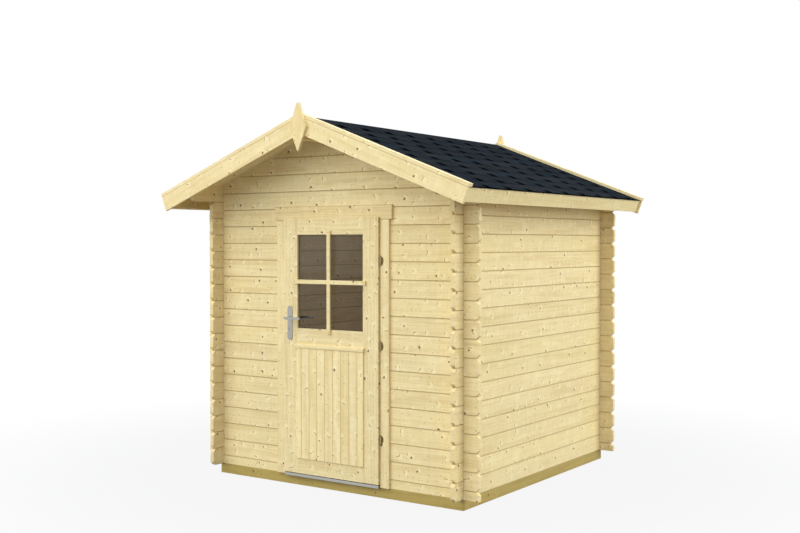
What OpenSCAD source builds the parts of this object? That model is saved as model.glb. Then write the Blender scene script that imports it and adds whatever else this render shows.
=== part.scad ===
// Small garden house of interlocking 28 mm wall logs on treated base beams,
// with a half-glazed plank door and an overhanging gable roof in felt shingles.
// Millimetres. X runs to the right, Y to the back, Z up. The origin is at the
// centre of the footprint on the ground.

/* [Walls] */
// Width over the outer faces of the side walls
house_w = 2000; // [1900:10:2400]
// Depth over the outer faces of the front and back walls
house_d = 2000; // [1600:10:3000]
// Thickness of a wall log
log_t = 28; // [24:1:34]
// Height that one log covers
log_h = 115; // [112:1:125]
// Full logs in a side wall, below its plate log
side_rows = 16; // [16:1:18]
// Height of a plate log at the wall's outer face
plate_h = 98; // [94:1:112]
// How far a log runs on past the wall that it crosses
stub_l = 108; // [80:1:140]
// Length of the bevel on the corners of a log's end
end_bevel_l = 23; // [12:1:30]
// Height of the bevel on the corners of a log's end
end_bevel_h = 21; // [12:1:26]
// Length of the bevel under a plate log's end
plate_bevel_l = 44; // [25:1:60]
// Height of the bevel under a plate log's end
plate_bevel_h = 30; // [15:1:45]
// Width of the tongue on top of a log
tongue_w = 9; // [6:0.5:10]
// Height of the tongue on top of a log
tongue_h = 8; // [5:0.5:10]
// Bevel along the long edges of a log
edge_bevel = 2.5; // [1:0.5:4]

/* [Base] */
// Height of the base beams
beam_h = 68; // [60:1:75]
// Thickness of the base beams
beam_t = 45; // [40:1:60]
// Floor joists between the side beams
joist_count = 3; // [2:1:5]
// Thickness of the floor boards
floor_t = 18; // [16:1:20]
// Width that one floor board covers
floor_board_w = 96; // [80:1:120]
// Width of the V joints between boards
vee_w = 5; // [3:0.5:8]

/* [Roof] */
// Pitch of the roof in degrees
pitch = 21.2; // [18:0.1:24]
// Side wall's outer face to the fascia's outer face, level
eave_overhang = 210; // [180:5:260]
// Overhang of the roof in front of the front wall
front_overhang = 319; // [260:1:400]
// Overhang of the roof behind the back wall
back_overhang = 205; // [150:1:320]
// Thickness of the roof boards
roof_board_t = 18; // [15:1:22]
// Width that one roof board covers
roof_board_w = 96; // [80:1:120]
// Thickness of the shingles at the lower edge of a course
shingle_t = 6; // [5:0.5:8]
// Length of a course that stays uncovered
shingle_course = 144; // [100:1:170]
// How far the lowest course hangs over the fascia
shingle_drip = 7; // [4:1:12]
// Thickness of the bargeboards and fascias
verge_t = 18; // [16:1:22]
// Width of the bargeboards
bargeboard_w = 104; // [95:1:130]
// How far the bargeboards run on past the fascia
bargeboard_tail = 14; // [8:1:25]
// Width of the fascias
fascia_w = 90; // [80:1:105]
// Thickness of the cap strips
cap_t = 20; // [14:1:24]
// Width of the cap strips
cap_w = 45; // [35:1:60]
// Thickness of the ridge purlin
purlin_t = 45; // [35:1:60]
// Height of the ridge purlin at its sides
purlin_h = 113; // [95:1:116]

/* [Finials] */
// Thickness of a finial
finial_t = 20; // [18:1:34]
// Widest part of a finial
finial_w = 132; // [120:1:170]
// Width of a finial's blunt top
finial_top_w = 14; // [10:1:40]
// Width of a finial's tip
finial_tip_w = 6; // [3:1:12]
// Height of a finial above its widest part
finial_up = 151; // [130:1:170]
// Height of a finial below its widest part
finial_down = 151; // [130:1:170]
// How far a finial's widest part lies below the roof boards' underside at the ridge
finial_drop = 44; // [30:1:60]

/* [Door] */
// Width of the door leaf
leaf_w = 780; // [740:5:820]
// Height of the body of the door leaf
leaf_h = 1681; // [1670:1:1690]
// How far the front lip stands up past the body of the leaf
lip_h = 22; // [12:1:26]
// Thickness of the door leaf
leaf_t = 30; // [28:1:34]
// Thickness of the lip at the front of the leaf
lip_t = 12; // [9:1:14]
// How far the front of the leaf stands out from the wall
leaf_proud = 35; // [34:0.5:37]
// Width of the stiles
stile_w = 120; // [110:1:135]
// Gap round the closed leaf
leaf_gap = 5; // [5:0.5:7]
// Height of the window opening
window_h = 622; // [560:1:660]
// Height of the top rail of the leaf below its body's top edge
top_rail_h = 90; // [80:1:120]
// Height of the lock rail
lock_rail_h = 150; // [130:1:180]
// Height of the bottom rail
bottom_rail_h = 140; // [120:1:160]
// Thickness of the glass
glass_t = 4; // [3:0.5:5]
// How far the glass lies behind the front of the leaf
glass_setback = 17; // [15:0.5:18]
// How far the glass reaches into the stiles and rails
glass_seat = 7; // [5:0.5:10]
// Width of the glazing bars
bar_w = 27; // [20:1:34]
// Thickness of the glazing bars
bar_t = 14; // [10:1:16]
// How far the glazing bars lap onto the leaf
bar_lap = 26; // [15:1:35]

/* [Door panel] */
// Distance from the leaf's side edges to the planked panel
panel_inset = 112; // [90:1:120]
// Bottom of the planked panel above the bottom of the leaf
panel_lift = 103; // [90:1:120]
// How far the planked panel reaches up over the lock rail
panel_lap = 22; // [10:1:60]
// Thickness of the planks
plank_t = 10; // [8:1:12]
// Width that one plank covers
plank_w = 66; // [55:1:80]
// Bevel along the front edges of each plank
plank_bevel = 1.5; // [1:0.5:3]
// Height of the drip rail over the planks
drip_h = 26; // [20:1:32]
// How far the drip rail stands out
drip_t = 17; // [14:1:20]
// How far the drip rail runs past the planks
drip_over = 6; // [0:1:15]
// Fall of the drip rail's top from the leaf to its front edge
drip_fall = 7; // [3:1:12]

/* [Door frame] */
// Width of the jambs seen from the front
jamb_w = 40; // [34:1:46]
// How far the jambs reach in front of the leaf's back edges
jamb_lap = 25; // [18:1:30]
// Width of the side trims
trim_w = 65.5; // [55:0.5:80]
// Thickness of the trims
trim_t = 18; // [17:0.5:19]
// Height of the head trim
head_trim_h = 93; // [80:1:110]
// How far the head trim runs past the side trims
head_ear = 21.5; // [0:0.5:30]
// Thickness of the aluminium threshold
sill_t = 3; // [2:0.5:4]
// Height of the lip at the front of the threshold
sill_lip = 18; // [14:1:20]
// Top of the threshold above the base beams
sill_top = 13; // [10:1:14]
// How far the threshold's lip stays behind the front of the leaf
sill_back = 5; // [3:0.5:8]
// Gap between the threshold and the closed leaf
sill_gap = 6; // [5:0.5:8]

/* [Hardware] */
// Radius of the hinge knuckles
knuckle_r = 7; // [6:0.5:8]
// Height of each pair of knuckles
knuckle_h = 48; // [40:1:52]
// Radius of the hinge pins
hinge_pin_r = 4; // [3:0.5:4.5]
// Metal over the end of each hinge pin's bore
pin_cover = 3; // [2:0.5:5]
// Radius of the studs that the hinges are screwed in by
stud_r = 3.5; // [2.5:0.5:4]
// Depth of the studs in the wood
stud_depth = 20; // [15:1:24]
// Depth of the scallop cut in the trim round each hinge
scallop_depth = 26; // [24:1:30]
// Half the height of each scallop
scallop_half = 34; // [32:1:40]
// Bottom, middle and top hinge, height above the ground
hinge_z = [372, 969, 1509];
// Width of the handle plates
plate_w = 41; // [36:1:46]
// Length of the handle plates
plate_l = 229; // [210:1:240]
// Thickness of the handle plates
plate_t = 4; // [3:0.5:5]
// Distance of the handle plates' middle line from the leaf's free edge
backset = 56; // [50:1:65]
// Height of the lever's spindle above the ground
lever_z = 1124; // [1080:1:1160]
// Height of the spindle above the plate's middle
lever_up = 35; // [25:1:45]
// Distance from spindle down to the keyhole
key_drop = 74; // [65:1:80]
// Radius of the keyhole's round part
key_r = 4; // [3:0.5:5]
// Width of the keyhole's slot
key_slot_w = 3; // [2:0.5:4]
// Length of the keyhole's slot below the middle of its round part
key_slot_l = 10; // [7:1:12]
// Radius of the spindle
spindle_r = 5; // [4:0.5:6]
// Radius of the lever's neck
neck_r = 7; // [6:0.5:9]
// How far the lever's arm stands out from the plate
lever_out = 57; // [45:1:65]
// Length of the lever's arm from its spindle
lever_l = 132; // [110:1:150]
// Height of the lever's arm
lever_h = 15; // [12:1:22]
// Thickness of the lever's arm
lever_t = 10; // [8:1:12]

/* [Fits] */
// Gap between stacked logs
joint_gap = 0.4; // [0.3:0.1:0.8]
// Clearance in notches and grooves, each side
notch_gap = 0.3; // [0.2:0.1:0.5]
// Clearance where one fixed piece is butted to another
butt_gap = 0.3; // [0.2:0.1:0.5]
// Running clearance of pins and spindles, radial
run_gap = 0.1; // [0.05:0.01:0.1]
// Clearance of the lever's neck in the plates, radial
neck_gap = 0.5; // [0.3:0.1:0.8]
// Clearance of the lever's neck in the stile, radial
neck_hole_gap = 2; // [1:0.5:3]
// Gap between the hinge knuckles and the edge of the leaf, and over each pin
knuckle_gap = 1; // [0.5:0.5:1.5]

/* [Hidden] */

wood = "#e6cf94";
trim_wood = "#eed9a2";
treated_wood = "#a39a55";
felt = "#2c333d";
steel = "#a9aeb4";
bronze = "#6d5634";
pane = "#6f6656";
round_fn = 48;
cut = 1; // overshoot of a cutting solid past the faces that it cuts

// Walls
half_w = house_w / 2;
half_d = house_d / 2;
first_joint = beam_h + log_h / 2;
front_run = half_w + stub_l;
side_run = half_d + stub_l;
rail_z = beam_h + side_rows * log_h;
eave_z = rail_z + plate_h;

// Roof, in a section plane with s down the slope and n square to it
least_top = 30; // least height of the top log of a gable
feather = 4; // height left at the ends of a log that is cut to the slope
ridge_under = eave_z + half_w * tan(pitch);
fascia_s = (half_w + eave_overhang) / cos(pitch);
board_s = fascia_s - verge_t;
barge_s = fascia_s + bargeboard_tail;
felt_n = roof_board_t + shingle_t;
roof_front = -half_d - front_overhang;
roof_back = half_d + back_overhang;
drip_s = fascia_s + shingle_drip;
least_cap = 0.5; // least length of the folded course on each slope, in courses
courses = floor(drip_s / shingle_course - least_cap);
cap_s = drip_s - courses * shingle_course;
cap_n = roof_board_t + shingle_t / 2;

// Door: the closed leaf stands in front of the jambs, between the side trims
leaf_bottom = beam_h + sill_top + sill_gap;
leaf_top = leaf_bottom + leaf_h;
leaf_front = -half_d - leaf_proud;
leaf_back = leaf_front + leaf_t;
trim_in = leaf_w / 2 + leaf_gap;
trim_out = trim_in + trim_w;
trim_front = -half_d - trim_t;
head_z = leaf_top + leaf_gap;
jamb_in = leaf_w / 2 - jamb_lap;
jamb_out = jamb_in + jamb_w;
door_rows = ceil((head_z - first_joint) / log_h);
lintel_z = first_joint + door_rows * log_h;
back_rows = side_rows - 1;
top_row = ceil((ridge_under - least_top - first_joint) / log_h) - 1;

window_w = leaf_w - 2 * stile_w;
window_top = leaf_top - top_rail_h;
window_bottom = window_top - window_h;
panel_z = leaf_bottom + panel_lift;
drip_z = window_bottom - lock_rail_h + panel_lap;
panel_h = drip_z - panel_z;
panel_w = leaf_w - 2 * panel_inset;
plank_count = ceil(panel_w / plank_w);

// Hardware
hinge_x = leaf_w / 2 + knuckle_r + knuckle_gap;
hinge_y = leaf_front + leaf_t / 2;
lever_x = -leaf_w / 2 + backset;

// Underside of the roof boards at a distance x from the ridge
function under_z(x) = ridge_under - abs(x) * tan(pitch);

// ---- logs ----

// Section of a log with its tongue up, its width centred on x = 0.
// A log without a groove has a flat underside.
module log_section(height, grooved = true) {
    top = height - joint_gap;
    half_t = log_t / 2;
    half_tongue = tongue_w / 2;
    half_groove = half_tongue + notch_gap;
    foot = grooved
        ? [[half_t, edge_bevel], [half_t - edge_bevel, 0], [half_groove, 0],
           [half_groove, tongue_h + notch_gap], [-half_groove, tongue_h + notch_gap],
           [-half_groove, 0], [-half_t + edge_bevel, 0], [-half_t, edge_bevel]]
        : [[half_t, 0], [-half_t, 0]];
    head = [[-half_t, top - edge_bevel], [-half_t + edge_bevel, top], [-half_tongue, top],
            [-half_tongue, top + tongue_h], [half_tongue, top + tongue_h], [half_tongue, top],
            [half_t - edge_bevel, top], [half_t, top - edge_bevel]];
    polygon(concat(foot, head));
}

// Bar along X from x0 to x1 with the section of its children in Y and Z
module along_x(x0, x1) {
    translate([x0, 0, 0])
        rotate([90, 0, 90])
            linear_extrude(x1 - x0) children();
}

// Wedge that takes a bevel off the lower corner of a bar's end at x = 0.
// The bar lies on the +X side of the end.
module end_wedge(bevel_l, bevel_h) {
    translate([0, log_t, 0])
        rotate([90, 0, 0])
            linear_extrude(2 * log_t)
                polygon([[-cut, -cut], [bevel_l + cut * bevel_l / bevel_h, -cut],
                         [-cut, bevel_h + cut * bevel_h / bevel_l]]);
}

// Both bevels at the end of a bar of a given height
module end_bevels(height, lower = true) {
    if (lower) end_wedge(end_bevel_l, end_bevel_h);
    translate([0, 0, height]) mirror([0, 0, 1]) end_wedge_high();
}

// As end_wedge, tall enough to take the tongue off too
module end_wedge_high() {
    slope = end_bevel_l / end_bevel_h;
    reach = tongue_h + cut;
    translate([0, log_t, 0])
        rotate([90, 0, 0])
            linear_extrude(2 * log_t)
                polygon([[-cut, -reach], [end_bevel_l + reach * slope, -reach],
                         [-cut, end_bevel_h + cut / slope]]);
}

// Notch from below and from above where another wall's logs cross at x = 0
module crossing(height, lower = true) {
    width = log_t + 2 * notch_gap;
    depth = log_h / 4 + notch_gap / 2;
    if (lower)
        translate([-width / 2, -log_t, -cut]) cube([width, 2 * log_t, depth + cut]);
    translate([-width / 2, -log_t, height - depth])
        cube([width, 2 * log_t, depth + tongue_h + cut]);
}

// Log along X from x0 to x1. cross lists where other walls' logs cross it,
// and an end is bevelled where it is a free end.
module wall_log(x0, x1, cross, left_end = true, right_end = true, height = log_h, grooved = true) {
    difference() {
        along_x(x0, x1) log_section(height, grooved);
        for (x = cross) translate([x, 0, 0]) crossing(height, grooved);
        if (left_end) translate([x0, 0, 0]) end_bevels(height, grooved);
        if (right_end) translate([x1, 0, 0]) mirror([1, 0, 0]) end_bevels(height, grooved);
    }
}

// Prism under the roof boards, as wide as a wall is thick, to cut a gable to
module under_roof() {
    translate([0, log_t, 0])
        rotate([90, 0, 0])
            linear_extrude(2 * log_t)
                polygon([[-house_w, under_z(house_w) - butt_gap], [-house_w, 0], [house_w, 0],
                         [house_w, under_z(house_w) - butt_gap], [0, ridge_under - butt_gap]]);
}

// Slot for the ridge purlin in the top of a gable
module purlin_slot() {
    slot_w = purlin_t + 2 * notch_gap;
    slot_z = under_z(purlin_t / 2) - purlin_h - butt_gap;
    translate([-slot_w / 2, -log_t, slot_z]) cube([slot_w, 2 * log_t, ridge_under]);
}

// Row n of a front or back wall, counted from the first full log. From the
// plate logs up the rows are gable logs, cut to the slope of the roof.
module front_row(n, x0, x1, left_end, right_end) {
    cross_x = half_w - log_t / 2;
    cross = concat(left_end ? [-cross_x] : [], right_end ? [cross_x] : []);
    if (n < side_rows)
        translate([0, 0, first_joint + n * log_h])
            wall_log(x0, x1, cross, left_end, right_end);
    else
        intersection() {
            difference() {
                gable_log(n, x0, x1);
                purlin_slot();
            }
            under_roof();
        }
}

// Half log under the first full log of a front or back wall
module front_half_row(x0, x1, left_end, right_end) {
    cross_x = half_w - log_t / 2;
    cross = concat(left_end ? [-cross_x] : [], right_end ? [cross_x] : []);
    translate([0, 0, beam_h])
        wall_log(x0, x1, cross, left_end, right_end, log_h / 2, false);
}

// Gable log between x0 and x1, or out to the slope where that is nearer. The
// lowest one is notched over the plate logs.
module gable_log(n, x0, x1) {
    z0 = first_joint + n * log_h;
    reach = min(front_run, (ridge_under - z0 - feather) / tan(pitch));
    difference() {
        translate([0, 0, z0]) wall_log(max(x0, -reach), min(x1, reach), [], false, false);
        if (n == side_rows)
            for (side = [-1, 1])
                translate([side * (half_w - log_t / 2) - log_t / 2 - notch_gap, -log_t, z0 - cut])
                    cube([log_t + 2 * notch_gap, 2 * log_t, log_h / 4 + notch_gap / 2 + cut]);
    }
}

// Rows first to last, each from end to end of a front or back wall
module whole_rows(first, last) {
    for (n = [first : 1 : last]) front_row(n, -front_run, front_run, true, true);
}

module at_front() {
    translate([0, -half_d + log_t / 2, 0]) children();
}

module at_back() {
    translate([0, half_d - log_t / 2, 0]) mirror([0, 1, 0]) children();
}

module front_wall_left() {
    color(wood) at_front() {
        front_half_row(-front_run, -jamb_out - butt_gap, true, false);
        for (n = [0 : door_rows - 1])
            front_row(n, -front_run, -jamb_out - butt_gap, true, false);
    }
}

module front_wall_right() {
    color(wood) at_front() {
        front_half_row(jamb_out + butt_gap, front_run, false, true);
        for (n = [0 : door_rows - 1])
            front_row(n, jamb_out + butt_gap, front_run, false, true);
    }
}

module front_gable() {
    color(wood) at_front() whole_rows(door_rows, top_row);
}

module back_wall() {
    color(wood) at_back() {
        front_half_row(-front_run, front_run, true, true);
        whole_rows(0, back_rows - 1);
    }
}

module back_gable() {
    color(wood) at_back() whole_rows(back_rows, top_row);
}

// Side walls: full logs, laid along Y
module side_wall() {
    cross_y = half_d - log_t / 2;
    rotate([0, 0, 90])
        for (n = [0 : side_rows - 1])
            translate([0, 0, beam_h + n * log_h])
                wall_log(-side_run, side_run, [-cross_y, cross_y]);
}

module left_wall() {
    color(wood) translate([-half_w + log_t / 2, 0, 0]) side_wall();
}

module right_wall() {
    color(wood) translate([half_w - log_t / 2, 0, 0]) side_wall();
}

// Plate log on top of the right side wall. It carries the roof out to the
// bargeboards, and its top follows the slope.
module plate_log() {
    y0 = roof_front + butt_gap;
    y1 = roof_back - butt_gap;
    cross_y = half_d - log_t / 2;
    intersection() {
        translate([half_w - log_t / 2, 0, rail_z])
            rotate([0, 0, 90])
                difference() {
                    along_x(y0, y1) log_section(2 * log_h);
                    for (side = [-1, 1]) translate([side * cross_y, 0, 0]) crossing(log_h);
                    translate([y0, 0, 0]) end_wedge(plate_bevel_l, plate_bevel_h);
                    translate([y1, 0, 0]) mirror([1, 0, 0]) end_wedge(plate_bevel_l, plate_bevel_h);
                }
        translate([0, roof_back, 0])
            rotate([90, 0, 0])
                linear_extrude(roof_back - roof_front)
                    polygon([[0, 0], [house_w, 0], [house_w, under_z(house_w) - butt_gap],
                             [0, ridge_under - butt_gap]]);
    }
}

module left_plate_log() {
    color(wood) mirror([1, 0, 0]) plate_log();
}

module right_plate_log() {
    color(wood) plate_log();
}

// ---- base and floor ----

module front_base_beam() {
    color(treated_wood) translate([-half_w, -half_d, 0]) cube([house_w, beam_t, beam_h]);
}

module back_base_beam() {
    color(treated_wood) translate([-half_w, half_d - beam_t, 0]) cube([house_w, beam_t, beam_h]);
}

module side_base_beams() {
    span = house_d - 2 * beam_t;
    color(treated_wood)
        for (x = [-half_w, half_w - beam_t])
            translate([x, -span / 2, 0]) cube([beam_t, span, beam_h]);
}

module floor_joists() {
    span = house_d - 2 * beam_t;
    pitch_x = (house_w - beam_t) / (joist_count + 1);
    color(treated_wood)
        for (n = [1 : joist_count])
            translate([-half_w + n * pitch_x, -span / 2, 0]) cube([beam_t, span, beam_h]);
}

// Tongued floor boards laid across the joists, as one deck with a joint
// line at every board
module floor_boards() {
    deck_d = house_d - 2 * log_t - 2 * butt_gap;
    deck_w = house_w - 2 * log_t - 2 * butt_gap;
    color(wood)
        translate([0, 0, beam_h])
            along_x(-deck_w / 2, deck_w / 2) grooved_deck(deck_d, floor_t, floor_board_w);
}

// Section of a deck of boards, with a V joint in its upper face between boards
module grooved_deck(width, thick, board) {
    count = floor(width / board);
    first = (width - (count - 1) * board) / 2;
    joints = [for (n = [0 : count - 1]) -width / 2 + first + n * board];
    vee = [for (n = [count - 1 : -1 : 0]) each
        [[joints[n] + vee_w / 2, thick], [joints[n], thick - vee_w / 2], [joints[n] - vee_w / 2, thick]]];
    polygon(concat([[-width / 2, 0], [width / 2, 0], [width / 2, thick]], vee, [[-width / 2, thick]]));
}

// ---- roof ----

// Places a shape drawn with X down the slope and Z square to it on the right
// half of the roof. Its origin is the ridge line of the boards' underside.
module on_slope() {
    translate([0, 0, ridge_under]) rotate([0, pitch, 0]) children();
}

// Extrudes a section drawn in s and n along Y from y0 to y1, and cuts it plumb
// at the ridge
module roof_slab(y0, y1) {
    reach = 2 * barge_s;
    intersection() {
        on_slope()
            translate([0, y1, 0])
                rotate([90, 0, 0])
                    linear_extrude(y1 - y0) children();
        translate([0, y0 - cut, 0]) cube([reach, y1 - y0 + 2 * cut, reach + ridge_under]);
    }
}

module ridge_purlin() {
    top = ridge_under - butt_gap;
    foot = under_z(purlin_t / 2) - purlin_h;
    edge = under_z(purlin_t / 2) - butt_gap;
    color(wood)
        translate([0, roof_back - butt_gap, 0])
            rotate([90, 0, 0])
                linear_extrude(roof_back - roof_front - 2 * butt_gap)
                    polygon([[-purlin_t / 2, foot], [purlin_t / 2, foot], [purlin_t / 2, edge],
                             [0, top], [-purlin_t / 2, edge]]);
}

// Boards run down the slope; a V joint shows between them from below
module roof_boards() {
    deck_w = roof_back - roof_front - 2 * butt_gap;
    intersection() {
        on_slope()
            translate([-roof_board_t, (roof_front + roof_back) / 2, roof_board_t])
                mirror([0, 0, 1])
                    along_x(0, board_s - butt_gap + roof_board_t)
                        grooved_deck(deck_w, roof_board_t, roof_board_w);
        translate([0, roof_front, 0]) cube([2 * barge_s, roof_back - roof_front, 2 * ridge_under]);
    }
}

module left_roof_boards() {
    color(wood) mirror([1, 0, 0]) roof_boards();
}

module right_roof_boards() {
    color(wood) roof_boards();
}

// Shingle courses: each lies on the one below it, thick at its lower edge
module shingles() {
    steps = [for (n = [0 : courses - 1]) each
        [[drip_s - n * shingle_course, felt_n], [drip_s - (n + 1) * shingle_course, cap_n]]];
    roof_slab(roof_front + butt_gap, roof_back - butt_gap)
        polygon(concat([[-felt_n, roof_board_t], [drip_s, roof_board_t]], steps, [[-felt_n, cap_n]]));
}

module left_shingles() {
    color(felt) mirror([1, 0, 0]) shingles();
}

module right_shingles() {
    color(felt) shingles();
}

// Top course, folded over the ridge between the cap strips
module ridge_cap() {
    inset = cap_w - verge_t + butt_gap;
    color(felt)
        union() {
            for (side = [0, 1])
                mirror([side, 0, 0])
                    roof_slab(roof_front + inset, roof_back - inset)
                        translate([-felt_n, cap_n + butt_gap])
                            square([cap_s + felt_n, shingle_t]);
        }
}

// Right bargeboard of a gable, between y0 and y0 + verge_t
module bargeboard(y0) {
    color(trim_wood)
        roof_slab(y0, y0 + verge_t)
            translate([-bargeboard_w, felt_n - bargeboard_w])
                square([barge_s + bargeboard_w, bargeboard_w]);
}

module front_right_bargeboard() {
    bargeboard(roof_front - verge_t);
}

module front_left_bargeboard() {
    mirror([1, 0, 0]) bargeboard(roof_front - verge_t);
}

module back_right_bargeboard() {
    bargeboard(roof_back);
}

module back_left_bargeboard() {
    mirror([1, 0, 0]) bargeboard(roof_back);
}

// Strips that lie on the bargeboards and on the edge of the shingles, from y0
// to y0 + cap_w, mitred together at the ridge
module cap_strips(y0) {
    color(trim_wood)
        for (side = [0, 1])
            mirror([side, 0, 0])
                translate([butt_gap / 2, 0, 0])
                    roof_slab(y0, y0 + cap_w)
                        translate([-felt_n - cap_t, felt_n])
                            square([barge_s + felt_n + cap_t - butt_gap, cap_t]);
}

module front_cap_strips() {
    cap_strips(roof_front - verge_t);
}

module back_cap_strips() {
    cap_strips(roof_back + verge_t - cap_w);
}

// Board across the ends of the roof boards at the right eave
module fascia() {
    color(trim_wood)
        on_slope()
            translate([board_s, roof_front + butt_gap, roof_board_t - fascia_w])
                cube([verge_t, roof_back - roof_front - 2 * butt_gap, fascia_w - butt_gap]);
}

module left_fascia() {
    mirror([1, 0, 0]) fascia();
}

module right_fascia() {
    fascia();
}

// Board with a point above and below, over the bargeboards' joint. Its back is at y1.
module finial(y1) {
    mid = ridge_under - finial_drop;
    color(trim_wood)
        translate([0, y1, mid])
            rotate([90, 0, 0])
                linear_extrude(finial_t)
                    polygon([[-finial_tip_w / 2, -finial_down], [finial_tip_w / 2, -finial_down],
                             [finial_w / 2, 0], [finial_top_w / 2, finial_up],
                             [-finial_top_w / 2, finial_up], [-finial_w / 2, 0]]);
}

module front_finial() {
    finial(roof_front - verge_t);
}

module back_finial() {
    finial(roof_back + verge_t + finial_t);
}

// ---- door frame ----

module door_jambs() {
    stud_hole_r = stud_r + run_gap;
    color(trim_wood)
        difference() {
            for (x = [-jamb_out, jamb_in])
                translate([x, -half_d, beam_h]) cube([jamb_w, log_t, head_z - beam_h]);
            for (z = hinge_z)
                translate([hinge_x, -half_d - cut, z - knuckle_h / 4])
                    rotate([-90, 0, 0])
                        cylinder(r = stud_hole_r, h = stud_depth + cut + run_gap, $fn = round_fn);
        }
}

module door_frame_head() {
    color(trim_wood)
        translate([-jamb_out, -half_d, head_z + butt_gap])
            cube([2 * jamb_out, log_t, lintel_z - head_z - 2 * butt_gap]);
}

// Trims at the sides of the door, with a scallop round each hinge
module door_side_trims() {
    scallop_r = (pow(scallop_half, 2) + pow(scallop_depth, 2)) / (2 * scallop_depth);
    color(trim_wood)
        difference() {
            for (x = [-trim_out, trim_in])
                translate([x, trim_front, beam_h]) cube([trim_w, trim_t, head_z - beam_h]);
            for (z = hinge_z)
                translate([trim_in + scallop_depth - scallop_r, trim_front - cut, z])
                    rotate([-90, 0, 0])
                        cylinder(r = scallop_r, h = trim_t + 2 * cut, $fn = 2 * round_fn);
        }
}

module door_head_trim() {
    half = trim_out + head_ear;
    color(trim_wood)
        translate([-half, trim_front, head_z]) cube([2 * half, trim_t, head_trim_h]);
}

// Folded threshold: a tread with a lip in front, on two webs
module door_threshold() {
    top = beam_h + sill_top;
    nose = leaf_front + sill_back;
    heel = -half_d + log_t;
    sill_side = leaf_gap / 2;
    color(steel)
        union() {
            along_x(-leaf_w / 2 + sill_side, leaf_w / 2 - sill_side)
                polygon([[nose, top], [nose, top - sill_lip], [nose + sill_t, top - sill_lip],
                         [nose + sill_t, top - sill_t], [-half_d - butt_gap, top - sill_t],
                         [-half_d - butt_gap, top]]);
            along_x(-jamb_in + butt_gap, jamb_in - butt_gap)
                polygon([[-half_d - sill_t, top], [-half_d - sill_t, top - sill_t],
                         [-half_d + sill_t, top - sill_t], [-half_d + sill_t, beam_h],
                         [-half_d + 2 * sill_t, beam_h], [-half_d + 2 * sill_t, top - sill_t],
                         [heel - sill_t, top - sill_t], [heel - sill_t, beam_h],
                         [heel, beam_h], [heel, top]]);
        }
}

// ---- hinges ----

// Lower knuckle of each hinge with its pin, screwed into the jamb
module frame_hinges() {
    half = knuckle_h / 2;
    color(bronze)
        for (z = hinge_z)
            translate([hinge_x, hinge_y, z]) {
                translate([0, 0, -half]) cylinder(r = knuckle_r, h = half - butt_gap, $fn = round_fn);
                translate([0, 0, -cut - butt_gap])
                    cylinder(r = hinge_pin_r, h = half - pin_cover - knuckle_gap + cut, $fn = round_fn);
                translate([0, 0, -half / 2])
                    rotate([-90, 0, 0])
                        cylinder(r = stud_r, h = -half_d - hinge_y + stud_depth, $fn = round_fn);
            }
}

// Upper knuckle of each hinge, screwed into the edge of the leaf
module leaf_hinges() {
    half = knuckle_h / 2;
    stud_end = hinge_x - leaf_w / 2 + stud_depth;
    color(bronze)
        for (z = hinge_z)
            translate([hinge_x, hinge_y, z])
                difference() {
                    union() {
                        cylinder(r = knuckle_r, h = half, $fn = round_fn);
                        translate([0, 0, half / 2])
                            rotate([0, -90, 0]) cylinder(r = stud_r, h = stud_end, $fn = round_fn);
                    }
                    translate([0, 0, -cut])
                        cylinder(r = hinge_pin_r + run_gap, h = half - pin_cover + cut, $fn = round_fn);
                }
}

// ---- door leaf ----

// Box in the leaf from x0 to x1 and z0 to z1, through the leaf's whole thickness
module leaf_box(x0, x1, z0, z1) {
    translate([x0, leaf_front, z0]) cube([x1 - x0, leaf_t, z1 - z0]);
}

// Groove for the glass round the window opening
module glass_groove() {
    width = glass_t + 2 * notch_gap;
    translate([-window_w / 2 - glass_seat - notch_gap, leaf_front + glass_setback - notch_gap,
               window_bottom - glass_seat - notch_gap])
        cube([window_w + 2 * (glass_seat + notch_gap), width,
              window_h + 2 * (glass_seat + notch_gap)]);
}

// Stiles, with the front lip standing up over the head trim
module door_stiles() {
    color(trim_wood)
        difference() {
            for (side = [-1, 1])
                stile(side);
            glass_groove();
            for (z = hinge_z)
                translate([leaf_w / 2 + cut, hinge_y, z + knuckle_h / 4])
                    rotate([0, -90, 0])
                        cylinder(r = stud_r + run_gap, h = stud_depth + cut + run_gap, $fn = round_fn);
            translate([lever_x, leaf_front - cut, lever_z])
                rotate([-90, 0, 0])
                    cylinder(r = neck_r + neck_hole_gap, h = leaf_t + 2 * cut, $fn = round_fn);
        }
}

module stile(side) {
    x0 = side > 0 ? leaf_w / 2 - stile_w : -leaf_w / 2;
    leaf_box(x0, x0 + stile_w, leaf_bottom, leaf_top);
    translate([x0, leaf_front, leaf_top - cut]) cube([stile_w, lip_t, lip_h + cut]);
}

// Top, lock and bottom rail between the stiles
module door_rails() {
    x1 = window_w / 2 - butt_gap / 2;
    color(trim_wood)
        difference() {
            union() {
                leaf_box(-x1, x1, window_top, leaf_top);
                translate([-x1, leaf_front, leaf_top - cut]) cube([2 * x1, lip_t, lip_h + cut]);
                leaf_box(-x1, x1, window_bottom - lock_rail_h, window_bottom);
                leaf_box(-x1, x1, leaf_bottom, leaf_bottom + bottom_rail_h);
            }
            glass_groove();
        }
}

// Planks on the front of the leaf, cut to the panel's width
module door_planks() {
    first = (panel_w - (plank_count - 2) * plank_w) / 2;
    edges = concat([0], [for (n = [0 : plank_count - 2]) first + n * plank_w], [panel_w]);
    color(trim_wood)
        for (n = [0 : plank_count - 1])
            translate([-panel_w / 2 + edges[n], leaf_front, panel_z])
                plank(edges[n + 1] - edges[n]);
}

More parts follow.
